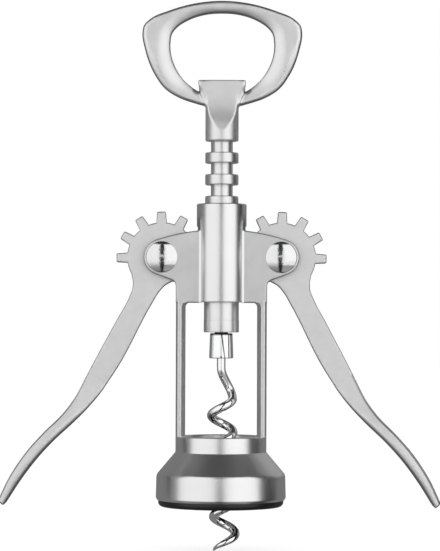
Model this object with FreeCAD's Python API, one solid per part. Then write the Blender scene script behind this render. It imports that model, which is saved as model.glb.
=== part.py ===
import FreeCAD, Part
import math
import os
from FreeCAD import Vector

# Wing corkscrew with a crown cap opener for a handle. Millimetres, +Z up, -Y towards the viewer.
# The origin is the centre of the ledge inside the bell that sits on the lip of the bottle.

# Bottle seat, a black plastic ring pressed into the bell
neck_r = 15.3               # room for the lip of the bottle
seat_depth = 7.7            # how far the lip goes in before it meets the ledge
seat_wall = 4.0             # of the sleeve inside the bell
seat_flange_step = 0.8      # the part that shows under the bell is this much slimmer than the bell
seat_flange_h = 2.2
seat_foot_round = 1.5
seat_ledge_t = 1.8
seat_lead_in = 1.0
seat_fit = 0.03             # radial clearance of the press fit in the bell

# Bell
band_wall = 2.32            # of the polished band around the seat
band_h = 8.4                # height of the band above the seat flange
band_bevel = 0.45
band_bevel_slope = 1.8      # height of that bevel against its width
band_low_round = 1.0
band_draft = 0.2            # the band is this much slimmer at its top
cone_h = 7.5                # from the band up to the collar
shoulder_round = 2.2
bell_wall = 2.3
bell_web_drop = 0.4         # the hollow ends this share of the wall under the top of the band
throat_drop = 1.4           # and the throat starts this share of it under the collar

# Cage between the bell and the barrel
cage_r = 15.15              # outside of the collar and of both legs
cork_r = 11.9               # room for the cork between the legs
collar_h = 5.2
collar_round = 0.35
leg_h = 44.4                # from the collar up to the cheeks
leg_face_x = 13.2           # inner edge of the flat front of a leg
leg_top_round = 1.6
fillet_lap = 0.6            # the fillets at the top of a leg run this far into it

# Barrel that guides the toothed stem
barrel_wall = 2.35
barrel_h = 33.0
barrel_round = 0.5
barrel_low_round = 0.4
bore_round = 0.3
barrel_low_rise = 0.15      # its underside stands this far above that of the cheeks
guide_clear = 0.08          # radial, between the barrel and the foot of the stem

# Cheeks that carry the levers
cheek_h = 24.1              # along the barrel
cheek_t = 2.0
cheek_ear_r = 6.05          # round end about the pivot
cheek_ear_deg = 70          # where the straight edges leave the round end
cheek_elbow = 1.6           # length of the bend where the lower edge turns down to the leg
cheek_elbow_pull = 0.4      # how close the bend comes to its corner
cheek_root_share = 0.6      # the cheeks start this far out inside the barrel
cheek_shoulder_drop = 1.2   # how far the top edge has fallen half way out
lever_t = 4.2
lever_side_clear = 0.3

# Rivets
pivot_rise = 15.15          # above the underside of the cheeks
rivet_r = 2.5
rivet_clear = 0.05          # radial, between the rivet and the lever
rivet_fit = 0.02            # radial, between the rivet and what it is pressed into
dome_r = 5.2
dome_h = 1.9
rivet_grip = 1.3            # length of the rivet inside the rear cap

# Toothed stem, and the gears on the levers
rack_pitch = 7.25
ring_r = 5.55
ring_h = 3.6
ring_chamfer = 0.3
stem_end_gap = 0.1          # the stem ends this much above where the next ring would start
ring_count = 7
stem_r = 3.65
rings_below_pivot = 2       # rings of the stem that lie below the pivots
mesh_offset = 0.51          # the gap that a tooth stands in is this much above the pivots
tooth_lead_deg = 1.5        # the teeth are turned this far against the arm, to stand in those gaps
gear_teeth = 12             # in a full turn
teeth_left = 8              # cut on each lever
addendum = 1.3
dedendum = 2.25
tooth_tip_w = 2.4
tooth_root_w = 3.3
tooth_corner = 0.45
mesh_depth = 0.9            # how far a tooth reaches in past the edge of a ring
sweep_clear = 0.4           # room around the teeth where the barrel is cut away
left_play_deg = 0.45        # the left lever sits this much high
right_play_deg = 0.2        # and the right one this much low
tooth_sink = 0.8            # the foot of a tooth lies this far inside the root circle

# Foot of the stem, the worm and what holds it
foot_r = 5.87
foot_len = 12.8
foot_round = 0.3
core_r = 2.2
core_clear = 0.05           # radial, the core turns in the stem
thrust_gap = 0.3            # between turning and sliding faces
core_in_handle = 9.0
ferrule_top_r = 3.7
ferrule_low_r = 4.05
ferrule_h = 8.36
ferrule_round = 0.4
core_in_ferrule = 2.0
shank_in_ferrule = 5.0
wire_r = 1.45
worm_r = 3.6                # radius of the centre line of the turns
worm_lean = 0.023           # drift of the turns to the right, per height, as bent in use
worm_pitch = 11.2
worm_tip_below = 14.6       # below the rim of the seat
worm_tip_r = 0.3
shank_len = 3.2             # straight wire under the ferrule
worm_lead_len = 10.3        # where the wire leaves the axis and joins the turns
taper_turn = 0.45           # turns over which the wire comes to a point
taper_power = 1.3           # how late the taper sets in

# Handle, a crown cap opener
neck_len = 12.24            # round neck under the ring
ring_half_t = 3.2
ring_bevel = 0.8
tab_half_t = 2.0
tab_half_w = 8.0
tab_rise = 7.9              # top of the tab above the round neck
scoop_r = 46.0
hole_lip = 0.5              # half width of the edge between the two bevels of the hole
hole_bevel_share = 2.4      # bevel of the hole against the bevel outside
ring_foot_half_t = 2.2      # the ring thins to this at its foot, so that the tab stands proud
ring_foot_r = 60.0          # radius of the two hollows that thin it
tab_low = 4.0               # the flat tab starts this far up the neck
tab_corner = 0.4
tab_foot_rise = 3.4         # where its sides meet the ring
tab_foot_in = 0.6
neck_shoulder = 1.0         # and how far under the top of the neck they reach its side
neck_round = 0.3

past = 1.0                  # cutting bodies run this far past what they cut

# Radii worked out from the room for the bottle
seat_sleeve_r = neck_r + seat_wall
bell_r = seat_sleeve_r + seat_fit + band_wall
seat_flange_r = bell_r - seat_flange_step

# Heights worked out from the sizes above
rim_z = -seat_depth
band_low_z = rim_z + seat_flange_h
band_top_z = band_low_z + band_h
collar_low_z = band_top_z + cone_h
collar_top_z = collar_low_z + collar_h
cheek_low_z = collar_top_z + leg_h
cheek_top_z = cheek_low_z + cheek_h
barrel_top_z = cheek_low_z + barrel_h
pivot_z = cheek_low_z + pivot_rise
slot_half = lever_t / 2 + lever_side_clear
cheek_face_y = slot_half + cheek_t

# Gear and barrel sizes worked out from the rack
pitch_r = rack_pitch * gear_teeth / (2 * math.pi)
gear_tip_r = pitch_r + addendum
gear_root_r = pitch_r - dedendum
pivot_x = ring_r + gear_tip_r - mesh_depth
barrel_bore_r = foot_r + guide_clear
barrel_r = barrel_bore_r + barrel_wall
lowest_ring_z = pivot_z + mesh_offset + rack_pitch * (0.5 - rings_below_pivot)
top_ring_z = lowest_ring_z + rack_pitch * (ring_count - 1)
foot_top_z = lowest_ring_z - ring_h / 2
foot_low_z = foot_top_z - foot_len
stem_top_z = top_ring_z + rack_pitch - ring_h / 2 + stem_end_gap
handle_low_z = stem_top_z + thrust_gap
neck_top_z = handle_low_z + neck_len
ferrule_top_z = foot_low_z - thrust_gap
ferrule_low_z = ferrule_top_z - ferrule_h
worm_tip_z = rim_z - worm_tip_below
lead_top_z = ferrule_low_z - shank_len

UP = Vector(0, 0, 1)
ALONG_Y = Vector(0, 1, 0)
ORIGIN = Vector(0, 0, 0)


def save(name, shape):
    shape = shape.removeSplitter() if len(shape.Solids) == 1 else shape
    if not shape.isValid():
        print("not valid:", name)
    print("%-18s solids %d  volume %9.1f" % (name, len(shape.Solids), shape.Volume))
    shape.exportStep("parts/%s.step" % name)
    return shape


def rounded_wire(corners, place):
    """Closed outline from (u, v, radius) corners. A radius of 0 leaves the corner sharp."""
    starts, ends, middles = [], [], []
    count = len(corners)
    for i, (u, v, radius) in enumerate(corners):
        here = Vector(u, v, 0)
        before = Vector(corners[i - 1][0], corners[i - 1][1], 0) - here
        after = Vector(corners[(i + 1) % count][0], corners[(i + 1) % count][1], 0) - here
        half = before.getAngle(after) / 2
        before.normalize()
        after.normalize()
        cut = radius / math.tan(half) if radius > 0 else 0
        starts.append(here + before * cut)
        ends.append(here + after * cut)
        bisector = before + after
        if radius > 0:
            bisector.normalize()
            middles.append(here + bisector * (radius / math.sin(half) - radius))
        else:
            middles.append(here)
    edges = []
    for i in range(count):
        a, m, b = starts[i], middles[i], ends[i]
        if (a - b).Length > 1e-6:
            edges.append(Part.Arc(place(a.x, a.y), place(m.x, m.y), place(b.x, b.y)).toShape())
        following = starts[(i + 1) % count]
        if (b - following).Length > 1e-6:
            edges.append(Part.makeLine(place(b.x, b.y), place(following.x, following.y)))
    return Part.Wire(edges)


def turned(corners):
    """Solid of revolution about Z from (radius, height, rounding) corners."""
    wire = rounded_wire(corners, lambda u, v: Vector(u, 0, v))
    return Part.Face(wire).revolve(ORIGIN, UP, 360)


def plate(wire_at, y_low, y_high):
    """Prism from y_low to y_high. wire_at gives the outline in the plane of a given y."""
    return Part.Face(wire_at(y_low)).extrude(Vector(0, y_high - y_low, 0))


def rod(radius, z_low, z_high):
    return Part.makeCylinder(radius, z_high - z_low, Vector(0, 0, z_low), UP)


def pin_y(radius, x, y_low, y_high):
    return Part.makeCylinder(radius, y_high - y_low, Vector(x, y_low, pivot_z), ALONG_Y)


def mirrored(shape, side):
    """The right-hand shape itself for side 1, and its mirror image for side -1."""
    return shape if side > 0 else shape.mirror(ORIGIN, Vector(1, 0, 0))


def gear_sweep():
    """Room that the teeth of the right lever sweep through."""
    return pin_y(gear_tip_r + sweep_clear, pivot_x, -slot_half, slot_half)


# Bell, collar and seat

def bell_skirt():
    inner_r = seat_sleeve_r + seat_fit
    inner_top = band_top_z - bell_wall * bell_web_drop
    throat_z = collar_low_z - bell_wall * throat_drop
    return turned([
        (inner_r, band_low_z, 0),
        (bell_r - band_bevel, band_low_z, 0),
        (bell_r, band_low_z + band_bevel * band_bevel_slope, band_low_round),
        (bell_r - band_draft, band_top_z, shoulder_round),
        (cage_r, collar_low_z, 0),
        (cork_r, collar_low_z, 0),
        (cork_r, throat_z, 0),
        (inner_r, inner_top, 0),
    ])


def bottle_seat():
    sleeve_top = seat_ledge_t
    return turned([
        (neck_r + seat_lead_in, rim_z, 0),
        (seat_flange_r, rim_z, seat_foot_round),
        (seat_flange_r, band_low_z, 0),
        (seat_sleeve_r, band_low_z, 0),
        (seat_sleeve_r, 0, 0),
        (seat_sleeve_r - seat_ledge_t, sleeve_top, 0),
        (cork_r, sleeve_top, 0),
        (cork_r, 0, 0),
        (neck_r, 0, 0),
        (neck_r, rim_z + seat_lead_in, 0),
    ])


def cage_collar():
    return turned([
        (cork_r, collar_low_z, 0),
        (cage_r, collar_low_z, 0),
        (cage_r, collar_top_z, collar_round),
        (cork_r, collar_top_z, collar_round),
    ])


# Legs, barrel and cheeks

def leg():
    """Right leg. Its outside lies on the collar and its inner faces are drafted towards the middle."""
    far_x = cage_r + 2 * past
    corners = [
        (far_x, -cheek_face_y),
        (leg_face_x, -cheek_face_y),
        (cork_r, 0),
        (leg_face_x, cheek_face_y),
        (far_x, cheek_face_y),
    ]
    points = [Vector(x, y, collar_top_z) for x, y in corners]
    section = Part.Face(Part.makePolygon(points + points[:1]))
    body = section.extrude(Vector(0, 0, leg_h))
    for way in (-1, 1):
        corner = Vector(leg_face_x, way * cheek_face_y, cheek_low_z)
        inner = corner + Vector(-leg_top_round, 0, 0)
        lower = corner + Vector(0, 0, -leg_top_round)
        middle = corner + Vector(-1, 0, -1) * leg_top_round * (1 - math.sqrt(0.5))
        back = Vector(fillet_lap, 0, 0)
        edges = [
            Part.Arc(inner, middle, lower).toShape(),
            Part.makeLine(lower, lower + back),
            Part.makeLine(lower + back, corner + back),
            Part.makeLine(corner + back, inner),
        ]
        fillet = Part.Face(Part.Wire(edges))
        slant = Vector(cork_r - leg_face_x, -way * cheek_face_y, 0)
        body = body.fuse(fillet.extrude(slant))
    return body.common(rod(cage_r, collar_top_z, cheek_low_z))


def guide_barrel():
    low_z = cheek_low_z + barrel_low_rise
    tube = turned([
        (barrel_bore_r, low_z, 0),
        (barrel_r, low_z, barrel_low_round),
        (barrel_r, barrel_top_z, barrel_round),
        (barrel_bore_r, barrel_top_z, bore_round),
    ])
    for side in (1, -1):
        tube = tube.cut(mirrored(gear_sweep(), side))
    return tube


def cheek_wire(y):
    """Outline of the right cheek: a top edge that falls away, a round ear and a root over the leg."""
    leg_x = cage_r
    root_x = barrel_r * cheek_root_share

    def at(x, z):
        return Vector(x, y, z)

    def on_ear(degrees):
        angle = math.radians(degrees)
        return at(pivot_x + cheek_ear_r * math.cos(angle), pivot_z + cheek_ear_r * math.sin(angle))

    ear_top, ear_low = on_ear(cheek_ear_deg), on_ear(-cheek_ear_deg)
    top_root = at(root_x, cheek_top_z)
    top_mid = at((root_x + ear_top.x) / 2, cheek_top_z - cheek_shoulder_drop)
    # the lower edge leaves the ear along its tangent and meets the leg
    fall = 1 / math.tan(math.radians(cheek_ear_deg))
    elbow_z = ear_low.z - (ear_low.x - leg_x) * fall
    into = Vector(-1, 0, -fall)
    into.normalize()
    elbow_a = at(leg_x, elbow_z) - into * cheek_elbow
    elbow_b = at(leg_x, elbow_z - cheek_elbow)
    ends = (elbow_a + elbow_b) * 0.5
    elbow_m = ends + (at(leg_x, elbow_z) - ends) * cheek_elbow_pull
    return Part.Wire([
        Part.Arc(top_root, top_mid, ear_top).toShape(),
        Part.Arc(ear_top, on_ear(0), ear_low).toShape(),
        Part.makeLine(ear_low, elbow_a),
        Part.Arc(elbow_a, elbow_m, elbow_b).toShape(),
        Part.makeLine(elbow_b, at(leg_x, cheek_low_z)),
        Part.makeLine(at(leg_x, cheek_low_z), at(root_x, cheek_low_z)),
        Part.makeLine(at(root_x, cheek_low_z), top_root),
    ])


def outside_cage():
    """What the roots of the cheeks lose, so that they follow the round outside of the legs."""
    slope_x = cheek_ear_r * math.cos(math.radians(cheek_ear_deg)) + pivot_x - cage_r
    elbow_z = pivot_z - cheek_ear_r * math.sin(math.radians(cheek_ear_deg))
    elbow_z -= slope_x / math.tan(math.radians(cheek_ear_deg)) + cheek_elbow
    wide = cage_r + cheek_elbow
    return turned([
        (cage_r, cheek_low_z - past, 0),
        (wide, cheek_low_z - past, 0),
        (wide, elbow_z + cheek_elbow, 0),
        (cage_r, elbow_z, 0),
    ])


def cheek(side, way):
    """One cheek. way is -1 at the front and 1 at the rear."""
    y_near, y_far = sorted((way * slot_half, way * cheek_face_y))
    body = plate(cheek_wire, y_near, y_far)
    body = body.cut(rod(barrel_r, cheek_low_z - past, cheek_top_z + past))
    body = body.cut(outside_cage())
    body = body.cut(pin_y(rivet_r + rivet_fit, pivot_x, y_near - past, y_far + past))
    return mirrored(body, side)


# Rivets

def dome(x, way):
    """Domed head with its flat side on the face of a cheek."""
    face_y = way * cheek_face_y
    centre = Vector(x, face_y, pivot_z)
    top = centre + Vector(0, way * dome_h, 0)
    rim = centre + Vector(dome_r, 0, 0)
    ball_r = (dome_r ** 2 + dome_h ** 2) / (2 * dome_h)
    half = math.asin(dome_r / ball_r) / 2
    middle = top + Vector(ball_r * math.sin(half), -way * ball_r * (1 - math.cos(half)), 0)
    edges = [
        Part.makeLine(centre, top),
        Part.Arc(top, middle, rim).toShape(),
        Part.makeLine(rim, centre),
    ]
    return Part.Face(Part.Wire(edges)).revolve(centre, ALONG_Y, 360)


def rivet(side):
    x = side * pivot_x
    return dome(x, -1).fuse(pin_y(rivet_r, x, -cheek_face_y, cheek_face_y + rivet_grip))


def rivet_cap(side):
    x = side * pivot_x
    return dome(x, 1).cut(pin_y(rivet_r, x, cheek_face_y - past, cheek_face_y + rivet_grip))


# Levers. Points are given outwards and upwards from the pivot.
arm_outer = [(9.6, -8.3), (9.75, -10.6), (10.9, -13.7), (14.75, -20.9), (22.05, -34.65), (24.1, -38.6)]
arm_inner = [(18.1, -42.6), (14.55, -37.1), (3.3, -15.6), (0.9, -11.6), (-1.0, -9.5), (-3.4, -8.1)]
sector_from_deg = -29.4
sector_to_deg = 228

# Stations of the grip: outer point, inner point, half width, half thickness of its side edges
grip = [
    ((24.1, -38.6), (18.1, -42.6), lever_t / 2, 3.5),
    ((28.87, -47.7), (24.54, -50.9), 3.3, 2.0),
    ((32.27, -52.3), (28.84, -55.3), 5.0, 1.1),
    ((38.4, -58.5), (35.38, -61.44), 6.8, 0.75),
    ((43.1, -63.75), (39.87, -66.25), 7.4, 0.7),
    ((49.25, -72.75), (46.2, -74.5), 7.4, 0.65),
    ((53.15, -80.75), (51.3, -82.5), 6.4, 0.6),
]
grip_edge_crown = 0.3
stem_edge_crown = 0.02      # the same on the arm, against its half width
ridge_share = 0.56          # the side edges lie this far from the outer face
least_face = 0.05           # least height of a crowned face


def lever_point(spot, y=0.0):
    return Vector(pivot_x + spot[0], y, pivot_z + spot[1])


def on_gear(radius, degrees, y=0.0):
    angle = math.radians(degrees)
    return lever_point((radius * math.cos(angle), radius * math.sin(angle)), y)


def spline(points):
    curve = Part.BSplineCurve()
    curve.interpolate(points)
    return curve.toShape()


def lever_plate():
    """Flat half of the lever: the gear sector and the upper arm."""
    y = -lever_t / 2
    start = on_gear(gear_root_r, sector_from_deg, y)
    finish = on_gear(gear_root_r, sector_to_deg, y)
    crest = on_gear(gear_root_r, (sector_from_deg + sector_to_deg) / 2, y)
    inner = [lever_point(spot, y) for spot in arm_inner]
    outer = [lever_point(spot, y) for spot in arm_outer]
    edges = [
        Part.Arc(start, crest, finish).toShape(),
        Part.makeLine(finish, inner[-1]),
        spline(inner[::-1]),
        Part.makeLine(inner[0], outer[-1]),
        spline(outer[::-1] + [start]),
    ]
    return Part.Face(Part.Wire(edges)).extrude(Vector(0, lever_t, 0))


def tooth(degrees):
    """One gear tooth, sunk a little into the root circle."""
    root = gear_root_r - tooth_sink
    half_root, half_tip = tooth_root_w / 2, tooth_tip_w / 2

    def place(u, v):
        turn = math.radians(degrees)
        out = u * math.cos(turn) - v * math.sin(turn)
        up = u * math.sin(turn) + v * math.cos(turn)
        return lever_point((out, up), -lever_t / 2)

    corners = [
        (root, -half_root, 0),
        (gear_tip_r, -half_tip, tooth_corner),
        (gear_tip_r, half_tip, tooth_corner),
        (root, half_root, 0),
    ]
    return Part.Face(rounded_wire(corners, place)).extrude(Vector(0, lever_t, 0))


def grip_section(station):
    """Four arcs: a crowned outer face, a flatter inner face and two narrow side edges."""
    (ou, ow), (iu, iw), half_w, edge = station
    outer, inner = lever_point((ou, ow)), lever_point((iu, iw))
    across = inner - outer
    thick = across.Length
    across.normalize()
    ridge = outer + across * (thick * ridge_share)
    reach = min(edge, thick / 2 - least_face)
    if reach > thick * (1 - ridge_share) - least_face:
        ridge = outer + across * (thick / 2)
    crown = half_w * stem_edge_crown if half_w < lever_t else grip_edge_crown
    side = Vector(0, half_w - crown, 0)
    front_a, front_b = ridge - across * reach - side, ridge + across * reach - side
    rear_a, rear_b = ridge - across * reach + side, ridge + across * reach + side
    edges = [
        Part.Arc(front_a, outer, rear_a).toShape(),
        Part.Arc(rear_a, ridge + Vector(0, half_w, 0), rear_b).toShape(),
        Part.Arc(rear_b, inner, front_b).toShape(),
        Part.Arc(front_b, ridge - Vector(0, half_w, 0), front_a).toShape(),
    ]
    return Part.Wire(edges)


def lever(side):
    body = lever_plate()
    step = 360.0 / gear_teeth
    for i in range(teeth_left):
        # one tooth always points at the rack, whatever their number
        body = body.fuse(tooth(180 + step * (1 - i) - tooth_lead_deg))
    body = body.fuse(Part.makeLoft([grip_section(s) for s in grip], True, False))
    body = body.cut(pin_y(rivet_r + rivet_clear, pivot_x, -lever_t, lever_t))
    body = mirrored(body, side)
    # seen from the front both play angles turn the lever clockwise
    play_deg = right_play_deg if side > 0 else left_play_deg
    body.rotate(Vector(side * pivot_x, 0, pivot_z), ALONG_Y, play_deg)
    return body


# Toothed stem and its foot

def rack_stem():
    stem = rod(stem_r, foot_low_z, stem_top_z)
    for i in range(ring_count):
        z = lowest_ring_z + rack_pitch * i - ring_h / 2
        stem = stem.fuse(turned([
            (core_r, z, 0),
            (ring_r - ring_chamfer, z, 0),
            (ring_r, z + ring_chamfer, 0),
            (ring_r, z + ring_h - ring_chamfer, 0),
            (ring_r - ring_chamfer, z + ring_h, 0),
            (core_r, z + ring_h, 0),
        ]))
    return stem.cut(rod(core_r + core_clear, foot_low_z - past, stem_top_z + past))


def rack_foot():
    return turned([
        (stem_r, foot_low_z, 0),
        (foot_r, foot_low_z, foot_round),
        (foot_r, foot_top_z, foot_round),
        (stem_r, foot_top_z, 0),
    ])


# Worm, ferrule and core

def core_rod():
    return rod(core_r, ferrule_top_z - core_in_ferrule, handle_low_z + core_in_handle)


def worm_ferrule():
    body = turned([
        (0, ferrule_low_z, 0),
        (ferrule_low_r, ferrule_low_z, ferrule_round),
        (ferrule_top_r, ferrule_top_z, ferrule_round),
        (0, ferrule_top_z, 0),
    ])
    body = body.cut(rod(core_r, ferrule_top_z - core_in_ferrule, ferrule_top_z + past))
    return body.cut(rod(wire_r, ferrule_low_z - past, ferrule_low_z + shank_in_ferrule))


def worm_spot(turns):
    """Centre line of the worm, counted in turns up from its point, which lies at the left."""
    height = worm_tip_z + worm_pitch * turns
    angle = 2 * math.pi * turns + math.pi
    drift = worm_lean * (lead_top_z - height)
    return Vector(worm_r * math.cos(angle) + drift, worm_r * math.sin(angle), height)


def worm_heading(turns):
    angle = 2 * math.pi * turns + math.pi
    rise = worm_pitch / (2 * math.pi)
    drift = -worm_lean * rise
    heading = Vector(-worm_r * math.sin(angle) + drift, worm_r * math.cos(angle), rise)
    heading.normalize()
    return heading


def arc_from(start, heading, finish):
    """Arc from start to finish that leaves start along heading, or a line if it is straight."""
    chord = finish - start
    length = chord.Length
    along = Vector(chord)
    along.normalize()
    bulge = heading - along * heading.dot(along)
    if bulge.Length < 1e-6:
        return Part.makeLine(start, finish)
    half = math.asin(min(1.0, bulge.Length)) / 2
    bulge.normalize()
    middle = (start + finish) * 0.5 + bulge * (length / 2 * math.tan(half))
    return Part.Arc(start, middle, finish).toShape()


def biarc(start, heading, finish, end_heading):
    """Two arcs that join start to finish and leave and arrive along the given headings."""
    gap = finish - start
    both = heading + end_heading
    spread = 2 * (1 - heading.dot(end_heading))
    reach = gap.dot(both)
    if spread < 1e-9:
        size = gap.dot(gap) / (2 * reach)
    else:
        size = (-reach + math.sqrt(reach ** 2 + spread * gap.dot(gap))) / spread
    meet = (start + heading * size + finish - end_heading * size) * 0.5
    first = arc_from(start, heading, meet)
    back = arc_from(finish, end_heading * -1, meet)
    return [first, back]


def least_gap(path, apart):
    """Least clear distance between stretches of the wire that lie at least apart along it."""
    count = int(path.Length / (wire_r / 2))
    points = path.discretize(count)
    skip = int(apart / path.Length * count)
    least = min((points[i] - points[j]).Length
                for i in range(count) for j in range(i + skip, count))
    return least - 2 * wire_r


def worm():
    """The wire: a tapered point, the turns, a lead back to the axis and a straight shank."""
    quarter = 0.25
    turns_end = (lead_top_z - worm_lead_len - worm_tip_z) / worm_pitch
    # whole quarter turns, ending at the right-hand side of the worm
    steps = int(round((turns_end - taper_turn) / quarter))
    length = (turns_end - taper_turn) / steps
    edges = []
    for i in range(steps):
        a = taper_turn + length * i
        b = a + length
        edges += biarc(worm_spot(a), worm_heading(a), worm_spot(b), worm_heading(b))
    join = worm_spot(turns_end)
    axis_low = Vector(0, 0, lead_top_z)
    axis_top = Vector(0, 0, ferrule_low_z + shank_in_ferrule)
    edges += biarc(join, worm_heading(turns_end), axis_low, UP)
    edges.append(Part.makeLine(axis_low, axis_top))
    path = Part.Wire(Part.__sortEdges__(edges))
    begin = worm_spot(taper_turn)
    circle = Part.Wire(Part.Circle(begin, worm_heading(taper_turn), wire_r).toShape())
    body = path.makePipeShell([circle], True, False)
    sections = []
    tip_steps = 6
    for i in range(tip_steps + 1):
        share = i / tip_steps
        turns = taper_turn * (1 - share)
        radius = wire_r + (worm_tip_r - wire_r) * share ** taper_power
        ring = Part.Circle(worm_spot(turns), worm_heading(turns), radius)
        sections.append(Part.Wire(ring.toShape()))
    tip = Part.makeLoft(sections, True, False)
    whole = body.fuse(tip)
    half_turn = math.hypot(math.pi * worm_r, worm_pitch / 2)
    gap = least_gap(path, half_turn)
    share = body.Volume / (math.pi * wire_r ** 2 * path.Length)
    print("worm: %.2f turns, least gap to itself %.2f, volume share %.3f" % (turns_end, gap, share))
    return whole


# Handle

# Half outlines of the ring, as (half width, height above the round neck), from the top down
ring_outer = [
    (0, 34.3), (8.1, 33.6), (18.0, 30.9), (23.8, 28.35), (26.2, 25.9), (26.65, 23.5),
    (25.8, 18.2), (22.5, 9.7), (19.0, 4.95), (14.4, 2.0), (9.0, 0.1), (0, -1.8),
]
ring_inner = [
    (0, 30.4), (6.2, 29.8), (11.6, 27.9), (15.1, 25.6), (16.7, 23.6), (17.3, 20.4),
    (17.0, 16.2), (15.5, 12.0), (12.9, 8.2), (9.2, 5.0), (0, 1.6),
]


def loop(half_outline, y, inset):
    """Closed curve through a half outline and its mirror image, moved inwards by inset."""
    right = [Vector(u, 0, v) for u, v in half_outline]
    left = [Vector(-u, 0, v) for u, v in half_outline[-2:0:-1]]
    curve = Part.BSplineCurve()
    curve.interpolate(Points=right + left, PeriodicFlag=True)
    moved = []
    for point in right + left:
        tangent = curve.tangent(curve.parameter(point))[0]
        moved.append(point + Vector(-tangent.z, 0, tangent.x) * -inset + Vector(0, y, neck_top_z))
    shifted = Part.BSplineCurve()
    shifted.interpolate(Points=moved, PeriodicFlag=True)
    return Part.Wire(shifted.toShape())


def lens(half_outline, inset, flat):
    """Solid with a straight middle band and bevelled faces."""
    stack = [
        loop(half_outline, -ring_half_t, inset),
        loop(half_outline, -flat, 0),
        loop(half_outline, flat, 0),
        loop(half_outline, ring_half_t, inset),
    ]
    return Part.makeLoft(stack, True, True)


def opener_handle():
    ring = lens(ring_outer, ring_bevel, ring_half_t - ring_bevel)
    ring = ring.cut(lens(ring_inner, -ring_bevel * hole_bevel_share, hole_lip))
    for way in (-1, 1):
        start = Vector(-2 * tab_half_w, way * (ring_foot_half_t + ring_foot_r), neck_top_z)
        ring = ring.cut(Part.makeCylinder(ring_foot_r, 4 * tab_half_w, start, Vector(1, 0, 0)))
    tab_top_z = neck_top_z + tab_rise
    tab_low_z = handle_low_z + tab_low
    foot_z = neck_top_z + tab_foot_rise
    foot_half = tab_half_w - tab_foot_in
    tab_corners = [
        (-tab_half_w, tab_top_z, tab_corner),
        (tab_half_w, tab_top_z, tab_corner),
        (foot_half, foot_z, 0),
        (ring_r, neck_top_z - neck_shoulder, 0),
        (ring_r, tab_low_z, 0),
        (-ring_r, tab_low_z, 0),
        (-ring_r, neck_top_z - neck_shoulder, 0),
        (-foot_half, foot_z, 0),
    ]
    tab = plate(lambda y: rounded_wire(tab_corners, lambda u, v: Vector(u, y, v)), -ring_r, ring_r)
    neck = turned([
        (0, handle_low_z, 0),
        (ring_r, handle_low_z, neck_round),
        (ring_r, tab_top_z, 0),
        (0, tab_top_z, 0),
    ])
    corner = Vector(-tab_half_w, -tab_half_t, tab_low_z)
    flat = Part.makeBox(2 * tab_half_w, 2 * tab_half_t, tab_top_z - tab_low_z, corner)
    tab = tab.common(neck).fuse(tab.common(flat))
    body = neck.common(rod(ring_r, handle_low_z, neck_top_z)).fuse(tab)
    for way in (-1, 1):
        start = Vector(-2 * tab_half_w, way * (tab_half_t + scoop_r), tab_top_z)
        scoop = Part.makeCylinder(scoop_r, 4 * tab_half_w, start, Vector(1, 0, 0))
        body = body.cut(scoop)
    body = body.fuse(ring)
    return body.cut(rod(core_r, handle_low_z - past, handle_low_z + core_in_handle))


# Every piece under its own name
os.makedirs("parts", exist_ok=True)
save("bell_skirt", bell_skirt())
save("bottle_seat", bottle_seat())
save("cage_collar", cage_collar())
save("guide_barrel", guide_barrel())
for side_name, side in (("left", -1), ("right", 1)):
    save(side_name + "_leg", mirrored(leg(), side))
    save(side_name + "_front_cheek", cheek(side, -1))
    save(side_name + "_rear_cheek", cheek(side, 1))
    save(side_name + "_rivet", rivet(side))
    save(side_name + "_rivet_cap", rivet_cap(side))
    save(side_name + "_lever", lever(side))
save("rack_stem", rack_stem())
save("rack_foot", rack_foot())
save("core_rod", core_rod())
save("worm_ferrule", worm_ferrule())
save("worm", worm())
save("opener_handle", opener_handle())
print("pitch radius %.4f  pivot x %.3f z %.3f  rim %.2f" % (pitch_r, pivot_x, pivot_z, rim_z))
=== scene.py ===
import bpy
import bmesh
import math
from mathutils import Matrix, Vector


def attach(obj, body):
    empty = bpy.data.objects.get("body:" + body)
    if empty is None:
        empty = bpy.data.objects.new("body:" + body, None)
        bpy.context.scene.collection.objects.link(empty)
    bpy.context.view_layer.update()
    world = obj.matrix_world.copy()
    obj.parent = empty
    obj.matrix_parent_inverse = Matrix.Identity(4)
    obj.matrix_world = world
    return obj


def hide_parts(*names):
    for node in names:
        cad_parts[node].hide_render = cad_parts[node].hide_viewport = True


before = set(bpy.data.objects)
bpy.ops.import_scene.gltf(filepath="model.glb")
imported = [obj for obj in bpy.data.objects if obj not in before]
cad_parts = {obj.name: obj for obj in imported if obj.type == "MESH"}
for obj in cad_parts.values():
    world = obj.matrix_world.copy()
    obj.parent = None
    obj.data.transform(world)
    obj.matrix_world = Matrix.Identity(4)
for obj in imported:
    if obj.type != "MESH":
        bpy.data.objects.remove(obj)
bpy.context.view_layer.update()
mm = 0.001
scene = bpy.context.scene

# Where the bodies turn and slide, in millimetres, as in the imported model
layout = {
    "pivotX": 19.7965, "pivotZ": 75.15,     # lever rivets
    "slotHalf": 2.4, "cheekFace": 4.4,      # inner and outer faces of the cheeks, in Y
    "cageRadius": 15.15, "corkRadius": 11.9,
    "collarTop": 15.6,
    "cheekLow": 60.0, "cheekTop": 84.1,
    "handleLow": 114.135, "neckTop": 126.375,
    "ferruleLow": 41.525, "ferruleTop": 49.885,
    "floorZ": -22.75,
}


def linear(hexColour):
    # sRGB hex to linear light
    parts = [int(hexColour[i:i + 2], 16) / 255 for i in (1, 3, 5)]
    return tuple(p / 12.92 if p <= 0.04045 else ((p + 0.055) / 1.055) ** 2.4 for p in parts) + (1.0,)


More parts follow.
